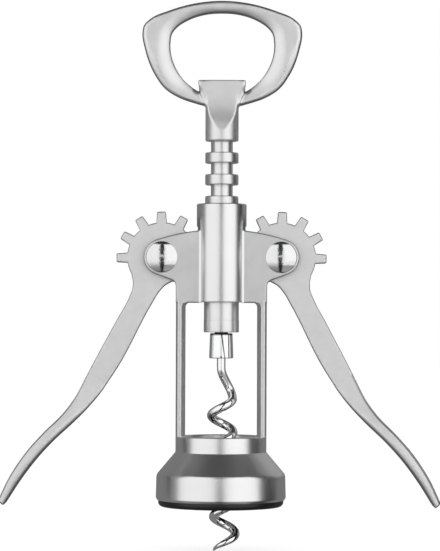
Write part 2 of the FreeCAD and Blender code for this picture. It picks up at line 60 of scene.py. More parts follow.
def addNode(tree, kind, sockets=None, **settings):
    # sockets maps an input's name or number to a value or to the output that feeds it
    node = tree.nodes.new(kind)
    for key, value in settings.items():
        setattr(node, key, value)
    for key, value in (sockets or {}).items():
        if isinstance(value, bpy.types.NodeSocket):
            tree.links.new(value, node.inputs[key])
        else:
            node.inputs[key].default_value = value
    return node


# Finishes

def emptyTree(block):
    # the node tree of a new material or world, without its default nodes
    block.use_nodes = True
    block.node_tree.nodes.clear()
    return block.node_tree


def surfaceFinish(name, spec):
    # clouded colour, uneven roughness, grit, and tool lines where a finish has them, in Object coordinates; a
    # side colour, where a finish has one, is painted shade
    material = bpy.data.materials.new(name)
    tree = emptyTree(material)
    cloudDetail, cloudRoughness, gritRoughness = spec.get("noise", (4.0, 0.6, 0.55))
    place = addNode(tree, "ShaderNodeTexCoord").outputs["Object"]
    clouds = addNode(tree, "ShaderNodeTexNoise", {"Vector": place, "Scale": 1 / (spec["cloud"] * mm),
                                                  "Detail": cloudDetail, "Roughness": cloudRoughness})
    colour = addNode(tree, "ShaderNodeMix", {"Factor": clouds.outputs[0], 6: linear(spec["dark"]),
                                             7: linear(spec["light"])}, data_type="RGBA")
    # painted shade: the side colour goes where the mesh's "side" attribute marks it
    if "side" in spec:
        trimmed = addNode(tree, "ShaderNodeAttribute", attribute_name="side")
        colour = addNode(tree, "ShaderNodeMix", {"Factor": trimmed.outputs["Fac"], 6: colour.outputs[2],
                                                 7: linear(spec["side"])}, data_type="RGBA")
    rough = addNode(tree, "ShaderNodeMapRange", {
        "Value": clouds.outputs[0], "From Min": 0.3, "From Max": 0.7,
        "To Min": spec["rough"][0], "To Max": spec["rough"][1]})
    under = {}
    if "line" in spec:
        along = addNode(tree, "ShaderNodeMapping", {"Vector": place, "Scale": spec["stretch"]})
        lines = addNode(tree, "ShaderNodeTexNoise", {
            "Vector": along.outputs[0], "Scale": 1 / (spec["line"] * mm), "Detail": 3.0, "Roughness": 0.65})
        scored = addNode(tree, "ShaderNodeBump", {
            "Height": lines.outputs[0], "Strength": spec["lineDepth"], "Distance": spec["line"] * mm * 0.25})
        under["Normal"] = scored.outputs[0]
    grit = addNode(tree, "ShaderNodeTexNoise", {"Vector": place, "Scale": 1 / (spec["grit"] * mm),
                                                "Detail": 2.0, "Roughness": gritRoughness})
    bump = addNode(tree, "ShaderNodeBump", {
        "Height": grit.outputs[0], "Strength": spec["gritDepth"],
        "Distance": spec["grit"] * mm * 0.25, **under})
    shader = addNode(tree, "ShaderNodeBsdfPrincipled", {
        "Base Color": colour.outputs[2], "Metallic": spec.get("metallic", 1.0), "Roughness": rough.outputs[0],
        "Normal": bump.outputs[0]})
    if "ior" in spec:
        shader.inputs["IOR"].default_value = spec["ior"]
    addNode(tree, "ShaderNodeOutputMaterial", {"Surface": shader.outputs[0]})
    return material


# Die-cast zinc, fine blasted and nickel plated: a soft sheen with a fine grain and faint clouds. Its side
# colour is painted shade on the sides.
# Real grit is near 0.1 mm; it is drawn at 0.3 mm so that it shows.
satinZincCasting = surfaceFinish("satinZincCasting", {
    "dark": "#dadada", "light": "#f0f0f0", "cloud": 7.0, "rough": (0.40, 0.46),
    "grit": 0.3, "gritDepth": 0.04, "line": 1.6, "lineDepth": 0.02, "stretch": (1, 1, 1), "side": "#a6a6a6"})

# The handle casting is blasted a little coarser, which spreads the light further; its side colour is painted
# shade on the sides
blastedZincHandle = surfaceFinish("blastedZincHandle", {
    "dark": "#e8e8e8", "light": "#fafafa", "cloud": 6.0, "rough": (0.40, 0.46),
    "grit": 0.3, "gritDepth": 0.03, "line": 1.6, "lineDepth": 0.02, "stretch": (1, 1, 1), "side": "#a0a0a0"})

# The same zinc turned on a lathe after casting: fine rings around the axis, and a tighter highlight
turnedZincBell = surfaceFinish("turnedZincBell", {
    "dark": "#e8e8e8", "light": "#f1f1f1", "cloud": 12.0, "rough": (0.27, 0.31),
    "grit": 0.3, "gritDepth": 0.03, "line": 0.35, "lineDepth": 0.05, "stretch": (0.004, 0.004, 1)})

# Lever castings tumbled smooth: a slightly mottled grey with no direction, and painted shade on the sides
tumbledZincLever = surfaceFinish("tumbledZincLever", {
    "dark": "#e7e7e7", "light": "#f7f7f7", "cloud": 3.0, "rough": (0.50, 0.58),
    "grit": 0.35, "gritDepth": 0.03, "line": 2.5, "lineDepth": 0.02, "stretch": (1, 1, 1), "side": "#a0a0a0"})

# Bar steel turned to rings and plated: clean, with lathe marks 0.3 mm apart
turnedSteelStem = surfaceFinish("turnedSteelStem", {
    "dark": "#e6e6e6", "light": "#f0f0f0", "cloud": 6.0, "rough": (0.31, 0.36),
    "grit": 0.25, "gritDepth": 0.03, "line": 0.3, "lineDepth": 0.08, "stretch": (0.004, 0.004, 1)})

# Spring wire and heads in bright chrome: a mirror with the faint waves of the drawn metal under it. Its
# near-black side colour darkens the ferrule along its seam and paints a shadow along its top.
polishedChrome = surfaceFinish("polishedChrome", {
    "dark": "#f4f4f5", "light": "#fcfcfc", "cloud": 5.0, "rough": (0.05, 0.08),
    "grit": 0.6, "gritDepth": 0.015, "line": 3.0, "lineDepth": 0.03, "stretch": (1, 1, 1), "side": "#161616"})

# The rivet heads are chromed as well, and dulled by handling
handledChrome = surfaceFinish("handledChrome", {
    "dark": "#dededf", "light": "#efefef", "cloud": 2.5, "rough": (0.11, 0.17),
    "grit": 0.4, "gritDepth": 0.03, "line": 2.0, "lineDepth": 0.05, "stretch": (1, 1, 1)})

# Drawn steel shaft, painted dark so that the gap above the ferrule reads as shade: fine streaks along its
# length
drawnSteelRod = surfaceFinish("drawnSteelRod", {
    "dark": "#4a4a49", "light": "#626261", "cloud": 4.0, "rough": (0.3, 0.4),
    "grit": 0.3, "gritDepth": 0.05, "line": 0.3, "lineDepth": 0.1, "stretch": (1, 1, 0.01)})

# Injection-moulded black polypropylene: near black, with a low sheen and a 0.3 mm mould grain
mouldedBlackPlastic = surfaceFinish("mouldedBlackPlastic", {
    "dark": "#101011", "light": "#191919", "cloud": 5.0, "rough": (0.33, 0.45),
    "grit": 0.3, "gritDepth": 0.18, "noise": (3.0, 0.5, 0.5), "metallic": 0.0, "ior": 1.5})

print("finishes ready")


# Mesh helpers. Outlines are lists of (u, v) in millimetres.

def roundedOutline(corners, steps=6):
    # closed outline through (u, v, radius) corners
    points = []
    count = len(corners)
    for i, (u, v, radius) in enumerate(corners):
        here = Vector((u, v))
        if radius == 0:
            points.append(here)
            continue
        before = (Vector(corners[i - 1][:2]) - here).normalized()
        after = (Vector(corners[(i + 1) % count][:2]) - here).normalized()
        half = before.angle(after) / 2
        centre = here + (before + after).normalized() * (radius / math.sin(half))
        start = here + before * (radius / math.tan(half)) - centre
        end = here + after * (radius / math.tan(half)) - centre
        first = math.atan2(start.y, start.x)
        turn = (math.atan2(end.y, end.x) - first + math.pi) % (2 * math.pi) - math.pi
        for k in range(steps + 1):
            angle = first + turn * k / steps
            points.append(centre + Vector((math.cos(angle), math.sin(angle))) * radius)
    return points


def smoothPath(points, steps, closed=False):
    # cubic curves through points of any dimension
    spots = [Vector(p) for p in points]
    count = len(spots)
    spans = [(spots[(i + 1) % count] - spots[i]).length for i in range(count)]
    slopes = []
    for i in range(count):
        if not closed and i in (0, count - 1):
            k = min(i, count - 2)
            slopes.append((spots[k + 1] - spots[k]) / spans[k])
            continue
        ahead = (spots[(i + 1) % count] - spots[i]) / spans[i]
        behind = (spots[i] - spots[i - 1]) / spans[i - 1]
        slopes.append((ahead * spans[i - 1] + behind * spans[i]) / (spans[i] + spans[i - 1]))
    path = []
    for i in range(count if closed else count - 1):
        a, b = spots[i], spots[(i + 1) % count]
        ma, mb = slopes[i] * spans[i], slopes[(i + 1) % count] * spans[i]
        for k in range(steps):
            t = k / steps
            path.append(a * (2 * t ** 3 - 3 * t ** 2 + 1) + ma * (t ** 3 - 2 * t ** 2 + t)
                        + b * (3 * t ** 2 - 2 * t ** 3) + mb * (t ** 3 - t ** 2))
    if not closed:
        path.append(spots[-1])
    return path


def plainMesh(name, bm):
    mesh = bpy.data.meshes.new(name)
    bm.to_mesh(mesh)
    bm.free()
    return mesh


def meshOf(name, bm):
    # merged, with faces outwards
    bmesh.ops.remove_doubles(bm, verts=bm.verts, dist=1e-7)
    bmesh.ops.recalc_face_normals(bm, faces=bm.faces)
    return plainMesh(name, bm)


def placed(name, data):
    item = bpy.data.objects.new(name, data)
    scene.collection.objects.link(item)
    return item


def baked(carrier):
    # the mesh that the carrier's modifiers give; the carrier goes
    result = bpy.data.meshes.new_from_object(carrier.evaluated_get(bpy.context.evaluated_depsgraph_get()))
    bpy.data.objects.remove(carrier)
    return result


def addLoft(bm, sections, closeEnds=True, closeRound=False):
    # sections of the same number of points, in millimetres, joined by quads
    rings = [[bm.verts.new(Vector(p) * mm) for p in section] for section in sections]
    size = len(rings[0])
    pairs = list(zip(rings, rings[1:])) + ([(rings[-1], rings[0])] if closeRound else [])
    for low, high in pairs:
        for k in range(size):
            n = (k + 1) % size
            bm.faces.new((low[k], low[n], high[n], high[k]))
    if closeEnds and not closeRound:
        bm.faces.new(rings[0][::-1])
        bm.faces.new(rings[-1])


def latheMesh(name, outline, segments=160):
    # closed (radius, height) outline turned about Z; points at radius 0 merge to a pole
    bm = bmesh.new()
    sections = []
    for k in range(segments):
        angle = 2 * math.pi * k / segments
        sections.append([(r * math.cos(angle), r * math.sin(angle), z) for r, z in outline])
    addLoft(bm, sections, closeRound=True)
    bmesh.ops.dissolve_degenerate(bm, edges=bm.edges, dist=1e-8)
    return meshOf(name, bm)


def insetOutline(outline, inset):
    # a counter-clockwise outline moved inwards
    count = len(outline)
    moved = []
    for i, here in enumerate(outline):
        a = (here - outline[i - 1]).normalized()
        b = (outline[(i + 1) % count] - here).normalized()
        normal = Vector((-(a.y + b.y), a.x + b.x))
        normal.normalize()
        lean = max(0.35, normal.dot(Vector((-a.y, a.x))))
        moved.append(here + normal * (inset / lean))
    return moved


def addSlab(bm, outlineAt, yLow, yHigh, rim, steps=6):
    # plate in the XZ plane with rounded rims; outlineAt gives its outline moved inwards by an inset
    turns = [math.pi / 2 * k / steps for k in range(steps + 1)]
    layers = [(rim * 1.15, 0)]          # keeps the flat face flat up to its rim
    layers += [(rim * (1 - math.sin(a)), rim * (1 - math.cos(a))) for a in turns]
    stack = [(inset, yLow + depth) for inset, depth in layers]
    stack += [(inset, yHigh - depth) for inset, depth in layers[::-1]]
    addLoft(bm, [[(p.x, y, p.y) for p in outlineAt(inset)] for inset, y in stack])


def applied(mesh, *stages):
    # the mesh after the given modifiers, made plain
    carrier = placed("carrier", mesh)
    for kind, settings in stages:
        modifier = carrier.modifiers.new(kind, kind)
        for key, value in settings.items():
            setattr(modifier, key, value)
    return baked(carrier)


def grown(tree, inputs, base=None):
    # runs a geometry tree with its named inputs and gives a plain mesh
    carrier = placed("carrier", base or bpy.data.meshes.new("base"))
    modifier = carrier.modifiers.new("grow", "NODES")
    modifier.node_group = tree
    for item in tree.interface.items_tree:
        if item.name in inputs:
            modifier[item.identifier] = inputs[item.name]
    return baked(carrier)


def paintSideShade(mesh, flat, turned, lowest=-30):
    # painted shade on the sides: 0 where the surface faces the front or the back and under the lowest height,
    # 1 on the sides, by the Y part of the normal
    marks = mesh.attributes.new("side", "FLOAT", "POINT")
    for mark, normal, vertex in zip(marks.data, mesh.vertex_normals, mesh.vertices):
        if vertex.co.z > lowest * mm:
            mark.value = min(1, max(0, (flat - abs(normal.vector.y)) / (flat - turned)))
    return mesh


def addPiece(name, mesh, body, material, nodes, sharp=32):
    mesh.materials.clear()
    mesh.materials.append(material)
    mesh.name = name
    mesh.shade_smooth()
    mesh.set_sharp_from_angle(angle=math.radians(sharp))
    piece = placed(name, mesh)
    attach(piece, body)
    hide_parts(*nodes)
    return piece


def joined(name, parts):
    bm = bmesh.new()
    for mesh in parts:
        bm.from_mesh(mesh)
    return plainMesh(name, bm)


# Bell, seat and collar

bell = {
    "skirt": [(19.33, -5.5, 0), (21.2, -5.5, 0.15), (21.65, -4.69, 0.8), (21.45, 2.9, 2.2), (15.15, 10.4, 0),
              (11.9, 10.4, 0), (11.9, 7.18, 0), (19.33, 1.98, 0)],
    "seat": [(16.3, -7.7, 0.3), (20.85, -7.7, 1.5), (20.85, -5.5, 0), (19.3, -5.5, 0), (19.3, 0, 0),
             (17.5, 1.8, 0.2), (11.9, 1.8, 0.2), (11.9, 0, 0.2), (15.3, 0, 0.3), (15.3, -6.7, 0.3)],
    "collar": [(11.9, 10.4, 0), (15.15, 10.4, 0), (15.15, 15.6, 0.35), (11.9, 15.6, 0.35)],
}
addPiece("bellShell", latheMesh("bellShell", roundedOutline(bell["skirt"], 10), 192), "frame",
         turnedZincBell, ["bell_skirt"])
addPiece("bottleSeatRing", latheMesh("bottleSeatRing", roundedOutline(bell["seat"], 8), 192), "frame",
         mouldedBlackPlastic, ["bottle_seat"])
addPiece("legCollar", latheMesh("legCollar", roundedOutline(bell["collar"], 4), 160), "frame",
         turnedZincBell, ["cage_collar"])


# Legs

legs = {
    "face": 13.2,           # inner edge of the flat front
    "edge": 0.28,           # rounding of the upright edges
    "crown": 0.07,          # of the front and rear faces
    "topBend": 1.6,         # where a leg runs into the cheeks
    "footBend": 0.5,        # where it stands on the collar
    "levels": 8,            # sections in each bend
    "over": 0.6,            # runs up over the rounded edge of the cheeks
    "lap": 0.1,             # into what it stands on and what it carries
}


def legSection(shift, height, side):
    outer = layout["cageRadius"]
    face = layout["cheekFace"]
    reach = math.asin(face / outer)
    corners = [(legs["face"] - shift, -face, legs["edge"])]
    corners.append(((legs["face"] + outer * math.cos(reach)) / 2, -face - legs["crown"], 0))
    corners.append((outer * math.cos(reach), -face, legs["edge"]))
    corners += [(outer * math.cos(a), outer * math.sin(a), 0) for a in (reach * k / 8 for k in range(-7, 8))]
    corners.append((outer * math.cos(reach), face, legs["edge"]))
    corners.append(((legs["face"] + outer * math.cos(reach)) / 2, face + legs["crown"], 0))
    corners.append((legs["face"] - shift, face, legs["edge"]))
    corners.append((layout["corkRadius"] - shift, 0, legs["edge"]))
    points = roundedOutline(corners, 3)
    return [(side * p.x, p.y, height) for p in points]


def legMesh(side):
    low, high = layout["collarTop"], layout["cheekLow"]
    steps = [k / legs["levels"] for k in range(legs["levels"] + 1)]
    foot, top = legs["footBend"], legs["topBend"]
    lap = legs["lap"]
    levels = [(foot * (1 - math.cos(s * math.pi / 2)), low - lap + foot * (1 - math.sin(s * math.pi / 2)))
              for s in steps[::-1]]
    levels += [(top * (1 - math.cos(s * math.pi / 2)), high + lap - top * (1 - math.sin(s * math.pi / 2)))
               for s in steps]
    levels.append((top, high + legs["over"] + lap))
    bm = bmesh.new()
    addLoft(bm, [legSection(shift, height, side) for shift, height in levels])
    return meshOf("leg", bm)


addPiece("cageLegs", joined("cageLegs", [legMesh(-1), legMesh(1)]), "frame", satinZincCasting,
         ["left_leg", "right_leg"])


# Barrel

barrel = {
    "tube": [(5.95, 60.15, 0.2), (8.3, 60.15, 0.4), (8.3, 93.0, 0.5), (5.95, 93.0, 0.3)],
    "sweep": 15.55,         # room for the gear teeth
    "strip": [(6.8, 4.76), (7.5, 4.4), (7.5, 3.9), (6.8, 3.9)],     # bright bevel beside a cheek, in XY
    "stripEnds": (0.1, 0.15),       # how far it stays inside the cheeks' lower and upper edge
}
tube = latheMesh("barrelTube", roundedOutline(barrel["tube"], 6), 160)
cutters = []
for side in (-1, 1):
    bm = bmesh.new()
    circle = [(side * layout["pivotX"] + barrel["sweep"] * math.cos(a),
               layout["pivotZ"] + barrel["sweep"] * math.sin(a))
              for a in (2 * math.pi * k / 180 for k in range(180))]
    addLoft(bm, [[(u, y, v) for u, v in circle] for y in (-layout["slotHalf"], layout["slotHalf"])])
    cutters.append(placed("gearSweep", meshOf("gearSweep", bm)))
tube = applied(tube, *[("BOOLEAN", {"object": cutter, "operation": "DIFFERENCE", "solver": "EXACT"})
                       for cutter in cutters])
for cutter in cutters:
    bpy.data.objects.remove(cutter)
for side in (-1, 1):
    for way in (-1, 1):
        bm = bmesh.new()
        addLoft(bm, [[(side * u, way * v, z) for u, v in barrel["strip"]]
                     for z in (layout["cheekLow"] + barrel["stripEnds"][0],
                               layout["cheekTop"] - barrel["stripEnds"][1])])
        strip = meshOf("strip", bm)
        tube = joined("barrelTube", [tube, strip])
addPiece("stemBarrel", tube, "frame", turnedZincBell, ["guide_barrel"])


# Cheeks

cheeks = {
    "earRadius": 6.05, "earDegrees": 70, "shoulderDrop": 1.2, "elbow": 1.6,
    "root": 6.9,            # hidden inside the barrel wall
    "rim": legs["over"],
    "sides": (0.93, 0.6),   # where the painted shade on the sides begins and ends, by the Y part of the normal
}


def cheekOutline():
    # right cheek, counter-clockwise in XZ
    px, pz, ear = layout["pivotX"], layout["pivotZ"], cheeks["earRadius"]
    leave = math.radians(cheeks["earDegrees"])
    legX = layout["cageRadius"]
    low = Vector((px + ear * math.cos(leave), pz - ear * math.sin(leave)))
    fall = 1 / math.tan(leave)
    elbow = Vector((legX, low.y - (low.x - legX) * fall))
    away = Vector((1, fall)).normalized() * cheeks["elbow"]
    below = elbow - Vector((0, cheeks["elbow"]))
    points = [Vector((cheeks["root"], layout["cheekLow"])), Vector((legX, layout["cheekLow"])), below]
    for k in range(1, 6):
        t = k / 6
        points.append(below * (1 - t) ** 2 + elbow * 2 * t * (1 - t) + (elbow + away) * t ** 2)
    points.append(elbow + away)
    for k in range(0, 25):
        angle = -leave + 2 * leave * k / 24
        points.append(Vector((px + ear * math.cos(angle), pz + ear * math.sin(angle))))
    top = points[-1]
    root = Vector((cheeks["root"], layout["cheekTop"]))
    middle = Vector(((root.x + top.x) / 2, layout["cheekTop"] - cheeks["shoulderDrop"]))
    for k in range(1, 17):
        t = k / 16
        points.append(top * (2 * t - 1) * (t - 1) + middle * 4 * t * (1 - t) + root * t * (2 * t - 1))
    return points


def cheekMesh(side, way):
    bm = bmesh.new()
    near, far = sorted((way * layout["slotHalf"], way * layout["cheekFace"]))
    addSlab(bm, lambda inset: insetOutline(cheekOutline(), inset), near, far, cheeks["rim"])
    if side < 0:
        bmesh.ops.scale(bm, vec=(-1, 1, 1), verts=bm.verts)
    return meshOf("cheek", bm)


for side, word in ((-1, "left"), (1, "right")):
    # painted shade on the sides of the cheeks
    pair = paintSideShade(joined("cheeks", [cheekMesh(side, -1), cheekMesh(side, 1)]), *cheeks["sides"])
    addPiece(word + "CheekPair", pair, "frame", satinZincCasting,
             [word + "_front_cheek", word + "_rear_cheek"])
print("frame casting ready")


# Rivet heads, one dome set on four points

rivets = {
    "headRadius": 5.2, "edgeDegrees": 34,
    "bend": 1.3,            # the slope grows with the radius to this power
}


def headMesh():
    radius = rivets["headRadius"]
    slices = 60
    crown = [Vector((radius, 0.12))]
    for k in range(slices, 0, -1):
        slope = math.radians(rivets["edgeDegrees"]) * ((k - 0.5) / slices) ** rivets["bend"]
        crown.append(Vector((radius * (k - 1) / slices, crown[-1].y + math.tan(slope) * radius / slices)))
    crown = crown[::-1][::2] + [crown[0]]
    rim = [Vector((radius + 0.05, 0.0)), Vector((radius - 0.1, -0.1)), Vector((0, -0.1))]
    mesh = latheMesh("head", crown + rim, 96)
    mesh.transform(Matrix.Rotation(math.radians(90), 4, "X"))   # crown towards -Y
    return mesh


def repeatTree(name, spun):
    # one shape set on every point of the base, turned half round behind the middle plane
    tree = bpy.data.node_groups.new(name, "GeometryNodeTree")
    tree.interface.new_socket("Geometry", in_out="INPUT", socket_type="NodeSocketGeometry")
    tree.interface.new_socket("Shape", in_out="INPUT", socket_type="NodeSocketObject")
    tree.interface.new_socket("Finish", in_out="INPUT", socket_type="NodeSocketMaterial")
    tree.interface.new_socket("Geometry", in_out="OUTPUT", socket_type="NodeSocketGeometry")
    given = addNode(tree, "NodeGroupInput")
    shape = addNode(tree, "GeometryNodeObjectInfo", {"Object": given.outputs["Shape"]})
    spot = addNode(tree, "ShaderNodeSeparateXYZ", {0: addNode(tree, "GeometryNodeInputPosition").outputs[0]})
    behind = addNode(tree, "ShaderNodeMath", {0: spot.outputs[1], 1: 0.0}, operation="GREATER_THAN")
    turn = addNode(tree, "ShaderNodeMath", {0: behind.outputs[0], 1: math.pi * spun}, operation="MULTIPLY")
    facing = addNode(tree, "ShaderNodeCombineXYZ", {2: turn.outputs[0]})
    copies = addNode(tree, "GeometryNodeInstanceOnPoints", {
        "Points": given.outputs["Geometry"], "Instance": shape.outputs["Geometry"],
        "Rotation": facing.outputs[0]})
    real = addNode(tree, "GeometryNodeRealizeInstances", {0: copies.outputs[0]})
    dressed = addNode(tree, "GeometryNodeSetMaterial", {"Geometry": real.outputs[0],
                                                        "Material": given.outputs["Finish"]})
    addNode(tree, "NodeGroupOutput", {0: dressed.outputs[0]})
    return tree


def repeated(name, shapeMesh, spots, finish, spun):
    shape = placed("shape", shapeMesh)
    base = bpy.data.meshes.new("spots")
    base.from_pydata([Vector(s) * mm for s in spots], [], [])
    mesh = grown(repeatTree(name, spun), {"Shape": shape, "Finish": finish}, base)
    bpy.data.objects.remove(shape)
    return mesh


headSpots = [(side * layout["pivotX"], way * layout["cheekFace"], layout["pivotZ"])
             for side in (-1, 1) for way in (-1, 1)]
heads = repeated("headsOnCheeks", headMesh(), headSpots, handledChrome, 1)
addPiece("rivetHeads", heads, "frame", handledChrome,
         ["left_rivet", "right_rivet", "left_rivet_cap", "right_rivet_cap"], 40)


# Levers: gear sector and flat arm as one plate, and the crowned grip lofted on

lever = {
    "halfThick": 2.1, "rim": 0.6,
    "tipRadius": 15.1465, "rootRadius": 11.5965, "sink": 0.8,
    "tipWidth": 2.9, "rootWidth": 3.5, "toothCorner": 0.45, "teeth": 8, "step": 30, "lead": 1.5,
    "sectorFrom": -29.4, "sectorTo": 228,
    "play": {-1: 0.45, 1: 0.2},     # degrees clockwise, seen from the front
    "sides": (0.93, 0.6),   # where the painted shade on the sides begins and ends, by the Y part of the normal
    # steps beyond the grip's end, and the share of its size there
    "endCap": [(0.15, 0.98), (0.4, 0.9), (0.55, 0.78), (0.6, 0.65)],
    "outer": [(24.1, -38.6), (22.05, -34.65), (14.75, -20.9), (10.9, -13.7), (9.75, -10.6), (9.6, -8.3)],
    "inner": [(-3.4, -8.1), (-1.0, -9.5), (0.9, -11.6), (3.3, -15.6), (14.55, -37.1), (18.1, -42.6)],
    # outer point, inner point, half width, fall of the face towards the outer edge, roll of the inner edge
    "grip": [(21.3, -33.6, 15.7, -38.0, 1.5, 0.0, 0.4), (24.1, -38.6, 18.1, -42.6, 2.1, 0.0, 0.6),
             (28.87, -47.7, 24.54, -50.9, 3.3, 0.35, 1.3), (32.27, -52.3, 28.84, -55.3, 5.0, 0.65, 1.9),
             (38.4, -58.5, 35.38, -61.44, 6.8, 0.7, 1.8), (43.1, -63.75, 39.87, -66.25, 7.4, 0.7, 1.75),
             (49.25, -72.75, 46.2, -74.5, 7.4, 0.6, 1.5), (53.15, -80.75, 51.3, -82.5, 6.4, 0.4, 1.0)],
    "bevel": {-1: 0.5, 1: 0.8},     # width of the bevel along the outer edge of a grip
}


def gearOutline(inset):
    root, tip, sink = lever["rootRadius"] - inset, lever["tipRadius"] - inset, lever["sink"]
    halfRoot, halfTip = lever["rootWidth"] / 2 - inset, lever["tipWidth"] / 2 - inset
    corner = max(0.08, lever["toothCorner"] - inset)
    slope = (halfRoot - halfTip) / (tip - root + sink)
    foot = math.sqrt(root ** 2 - halfRoot ** 2)
    footHalf = halfRoot - slope * (foot - root + sink)
    footAngle = math.degrees(math.atan2(footHalf, foot))
    points = []

    def rootArc(fromDegrees, toDegrees):
        count = 8
        for k in range(count + 1):
            angle = math.radians(fromDegrees + (toDegrees - fromDegrees) * k / count)
            points.append(Vector((math.cos(angle), math.sin(angle))) * root)

    last = lever["sectorFrom"]
    for i in range(lever["teeth"]):
        middle = lever["step"] * i - lever["lead"]
        rootArc(last, middle - footAngle)
        flank = [(foot, -footHalf, 0), (tip, -halfTip, corner), (tip, halfTip, corner), (foot, footHalf, 0)]
        spin = Matrix.Rotation(math.radians(middle), 2)
        points.extend(spin @ p for p in roundedOutline(flank, 4)[1:-1])
        last = middle + footAngle
    rootArc(last, lever["sectorTo"])
    return points


def leverOutline(inset):
    inner = smoothPath(lever["inner"], 8)
    outer = smoothPath(lever["outer"], 8)
    # the plate runs on inside the grip
    seamOut, seamIn = Vector(lever["outer"][0]), Vector(lever["inner"][-1])
    onward = Vector((0.47, -0.88)) * 1.2
    narrow = (seamOut - seamIn).normalized() * 0.9
    gear = gearOutline(0)
    whole = gear + inner + [seamIn + onward + narrow, seamOut + onward - narrow] + outer
    return gearOutline(inset) + insetOutline(whole, inset)[len(gear):]


def gripSection(station, bevel):
    # wide from front to back; seen from the front a face that falls towards the outer edge and rolls over
    # at the inner one
    outer, inner = Vector((station[0], 0, station[1])), Vector((station[2], 0, station[3]))
    halfWidth, fall, roll = station[4:]
    across = inner - outer
    thick = across.length
    across.normalize()
    band = min(bevel, thick * 0.3)
    half = [(0, 0, 0), (0, -(halfWidth - fall - band * 0.75), 0.1), (band, -(halfWidth - fall * 0.8), 0.15),
            (thick, -halfWidth, roll), (thick, 0, 0)]
    corners = half + [(u, -y, radius) for u, y, radius in half[-2:0:-1]]
    return [outer + across * p.x + Vector((0, p.y, 0)) for p in roundedOutline(corners, 10)]


def leverMesh(side):
    bm = bmesh.new()
    addSlab(bm, leverOutline, -lever["halfThick"], lever["halfThick"], lever["rim"])
    sections = [gripSection(s, lever["bevel"][side]) for s in smoothPath(lever["grip"], 12)]
    last = sections[-1]
    centre = sum(last, Vector()) / len(last)
    beyond = (centre - sum(sections[-2], Vector()) / len(last)).normalized()
    for push, shrink in lever["endCap"]:
        sections.append([centre + (p - centre) * shrink + beyond * push for p in last])
    addLoft(bm, sections)
    bmesh.ops.translate(bm, vec=Vector((layout["pivotX"], 0, layout["pivotZ"])) * mm, verts=bm.verts)
    if side < 0:
        bmesh.ops.scale(bm, vec=(-1, 1, 1), verts=bm.verts)
    mesh = meshOf("lever", bm)
    pivot = Matrix.Translation(Vector((side * layout["pivotX"], 0, layout["pivotZ"])) * mm)
    mesh.transform(pivot @ Matrix.Rotation(math.radians(lever["play"][side]), 4, "Y") @ pivot.inverted())
    return mesh


for side, word in ((-1, "left"), (1, "right")):
    # painted shade on the sides of the levers
    addPiece(word + "GearLever", paintSideShade(leverMesh(side), *lever["sides"]), word + "_lever",
             tumbledZincLever, [word + "_lever"])
print("levers ready")


# Toothed stem: seven rings on a sleeve, and the foot that runs in the barrel

stem = {
    "radius": 3.65, "bore": 2.25, "low": 50.185, "top": 113.835,
    "ring": [(3.2, 0, 0), (5.55, 0, 0.45), (5.55, 3.6, 0.45), (3.2, 3.6, 0)],
    "firstRing": 62.985, "pitch": 7.25, "rings": 7,
    "foot": [(3.5, 50.185, 0), (5.87, 50.185, 0.3), (5.87, 54.2, 0.03), (5.82, 54.26, 0.03),
             (5.82, 62.985, 0.3), (3.5, 62.985, 0)],
}
sleeveCorners = [(stem["bore"], stem["low"], 0), (stem["radius"], stem["low"], 0),
                 (stem["radius"], stem["top"], 0.3), (stem["bore"], stem["top"], 0.15)]
sleeve = latheMesh("sleeve", roundedOutline(sleeveCorners, 4), 96)
ringSpots = [(0, 0, stem["firstRing"] + stem["pitch"] * k) for k in range(stem["rings"])]
oneRing = latheMesh("ring", roundedOutline(stem["ring"], 4), 96)
rings = repeated("ringsOnStem", oneRing, ringSpots, turnedSteelStem, 0)
addPiece("ringedStem", joined("ringedStem", [sleeve, rings]), "rack", turnedSteelStem,
         ["rack_stem"])
addPiece("stemFoot", latheMesh("stemFoot", roundedOutline(stem["foot"], 4), 128), "rack",
         turnedSteelStem, ["rack_foot"])


# Ferrule with its seam, and the worm

ferrule = {"lowRadius": 4.05, "topRadius": 3.75, "round": 0.4, "topRound": 0.35, "shadowBandFrom": 0.955,
           "seamWidth": 0.2, "seamDepth": 0.2,
           "seamFrom": 17.0, "seamTo": 1.0}      # degrees from the front, at the low and at the top end


def ferruleMesh():
    low, top = layout["ferruleLow"], layout["ferruleTop"]
    corners = [(0, low, 0), (ferrule["lowRadius"], low, ferrule["round"]),
               (ferrule["topRadius"], top, ferrule["topRound"]), (0, top, 0)]
    outline = roundedOutline(corners, 6)
    # more levels along the wall, so that the seam is smooth
    walls = []
    for a, b in zip(outline, outline[1:]):
        walls.append(a)
        if abs(a.y - b.y) > 2:
            walls += [a.lerp(b, k / 16) for k in range(1, 16)]
    walls.append(outline[-1])
    mesh = latheMesh("ferrule", walls, 720)
    marks = mesh.attributes.new("side", "FLOAT", "POINT")     # darker along the seam; a painted shadow band at the top, under the stem's foot
    for vertex, mark in zip(mesh.vertices, marks.data):
        height = (vertex.co.z / mm - low) / (top - low)
        radius = math.hypot(vertex.co.x, vertex.co.y) / mm
        if radius < 2:
            continue
        degrees = math.degrees(math.atan2(vertex.co.x, -vertex.co.y))
        seam = ferrule["seamFrom"] + (ferrule["seamTo"] - ferrule["seamFrom"]) * height
        gap = math.radians(degrees - seam) * radius
        share = (0.45 + 0.75 * height) * math.exp(-(gap / ferrule["seamWidth"]) ** 2)
        # painted shadow along the top, under the stem's foot; darker along the seam
        mark.value = 1 if height > ferrule["shadowBandFrom"] else min(1, 1.3 * share)
        dip = ferrule["seamDepth"] * share
        vertex.co.x *= 1 - dip / radius
        vertex.co.y *= 1 - dip / radius
    return mesh


addPiece("crimpedFerrule", ferruleMesh(), "spindle", polishedChrome, ["worm_ferrule"])

